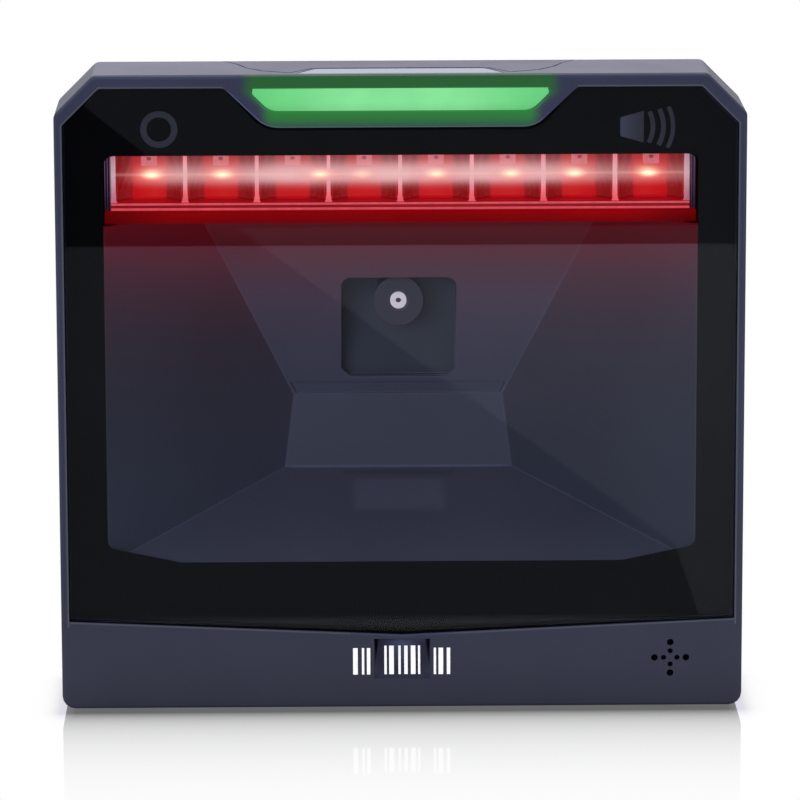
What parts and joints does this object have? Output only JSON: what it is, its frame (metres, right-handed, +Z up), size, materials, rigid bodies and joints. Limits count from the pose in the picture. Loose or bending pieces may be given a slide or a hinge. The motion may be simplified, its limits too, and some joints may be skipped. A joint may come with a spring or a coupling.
{
  "type": "flatbed barcode scanner",
  "caption": "Countertop barcode scanner: chamfered upright housing, dark scan window over an optical hopper with a red lamp bar, lit indicator lenses, press key and rubber feet.",
  "frame": {"origin": "middle of the footprint, on the surface the rubber feet stand on", "axes": "+Z up, front face and scan window towards -Y, +X to the right seen from the front"},
  "size_m": [0.16, 0.085, 0.1512],
  "materials": {
    "housing_plastic": "fine satin texture",
    "key_plastic": "fine satin texture",
    "window_glass": "polished, slightly smoked",
    "mask_print": "black print",
    "gasket_foam": "matte foam",
    "hopper_plastic": "smooth, slightly glossy",
    "clear_plastic": "clear moulded plastic, lit red",
    "black_plastic": "matte",
    "circuit_board": "solder mask",
    "chip_black": "moulded epoxy",
    "barrel_metal": "anodised, satin",
    "lens_glass": "coated, polished",
    "ring_white": "smooth",
    "copper_foil": "thin foil",
    "steel": "plated",
    "speaker_paper": "pressed paper",
    "green_lens": "frosted, lit green",
    "pale_lens": "frosted",
    "plunger_plastic": "smooth",
    "label_film": "blank film",
    "cable_rubber": "smooth sleeve",
    "lamp_red": "lit red",
    "lamp_white": "smooth",
    "foot_rubber": "matte"
  },
  "bodies": {
    "housing": {"ballast_plate": "steel", "board_screw_left": "steel", "board_screw_right": "steel", "camera_board": "circuit_board", "camera_ribbon": "copper_foil", "camera_shroud": "black_plastic", "decoder_chip": "chip_black", "foot_front_left": "foot_rubber", "foot_front_right": "foot_rubber", "foot_rear_left": "foot_rubber", "foot_rear_right": "foot_rubber", "front_bezel": "housing_plastic", "front_indicator_lens": "green_lens", "hopper_screw_lower_left": "steel", "hopper_screw_lower_right": "steel", "hopper_screw_upper_left": "steel", "hopper_screw_upper_right": "steel", "housing_screw_lower_left": "steel", "housing_screw_lower_right": "steel", "housing_screw_upper_left": "steel", "housing_screw_upper_right": "steel", "image_sensor": "chip_black", "indicator_board": "circuit_board", "indicator_led_1": "lamp_white", "indicator_led_2": "lamp_white", "indicator_led_3": "lamp_white", "interface_jack": "black_plastic", "key_switch": "black_plastic", "lamp_lead": "cable_rubber", "led_1": "lamp_red", "led_2": "lamp_red", "led_3": "lamp_red", "led_4": "lamp_red", "led_5": "lamp_red", "led_6": "lamp_red", "led_7": "lamp_red", "led_8": "lamp_red", "led_bar_holder": "black_plastic", "led_board": "circuit_board", "led_lens_bar": "clear_plastic", "lens_barrel": "barrel_metal", "lens_glass": "lens_glass", "lens_holder": "black_plastic", "lens_ring": "ring_white", "main_board": "circuit_board", "memory_chip": "chip_black", "optical_hopper": "hopper_plastic", "rating_label": "label_film", "rear_housing": "housing_plastic", "scan_window": "window_glass", "speaker_frame": "black_plastic", "speaker_magnet": "steel", "top_indicator_lens": "pale_lens", "touch_pad_left": "copper_foil", "touch_pad_right": "copper_foil", "window_gasket": "gasket_foam", "window_mask": "mask_print"},
    "key": {"top_key": "key_plastic"},
    "plunger": {"switch_plunger": "plunger_plastic"},
    "cone": {"speaker_cone": "speaker_paper"}
  },
  "joints": [
    {"name": "key_press", "type": "slide", "parent": "housing", "child": "key", "axis": [0, 0, -1], "range_m": [0, 0.0006], "stiffness_N_per_m": 800, "springref_m": -0.0008},
    {"name": "plunger_press", "type": "slide", "parent": "housing", "child": "plunger", "axis": [0, 0, -1], "range_m": [0, 0.0006]},
    {"name": "cone_travel", "type": "slide", "parent": "housing", "child": "cone", "axis": [0, 1, 0], "range_m": [-0.0004, 0.0004], "stiffness_N_per_m": 600}
  ],
  "couplings": [
    {"joint": "plunger_press", "follows": "key_press", "ratio": 1}
  ]
}
